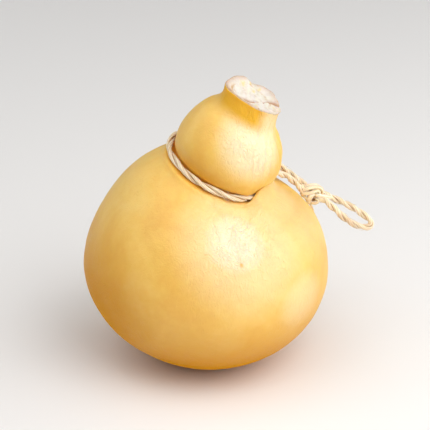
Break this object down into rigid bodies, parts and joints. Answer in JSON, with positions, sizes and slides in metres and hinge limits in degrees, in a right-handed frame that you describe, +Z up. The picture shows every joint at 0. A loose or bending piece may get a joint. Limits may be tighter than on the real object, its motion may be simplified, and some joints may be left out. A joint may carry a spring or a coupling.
{
  "type": "caciocavallo cheese",
  "caption": "Gourd-shaped stretched-curd cheese with a round body, a leaning head with a torn stump, and a raffia cord tied round its neck in a knot and a hanging loop.",
  "frame": {"origin": "middle of the base, on the surface that the cheese stands on", "axes": "+Z up through the body, +X to the side that the head leans and the hanging loop points, +Y to the back"},
  "size_m": [0.1814, 0.1492, 0.1849],
  "materials": {
    "rind": "thin waxy yellow rind, satin, faintly wrinkled",
    "raffia": "two twisted plies of dried palm leaf, straw-coloured, matt with a slight sheen"
  },
  "bodies": {
    "root": {"cheese": "rind", "neck_cord": "raffia", "cord_knot": "raffia", "hanging_loop": "raffia", "cord_tail": "raffia"}
  },
  "joints": []
}
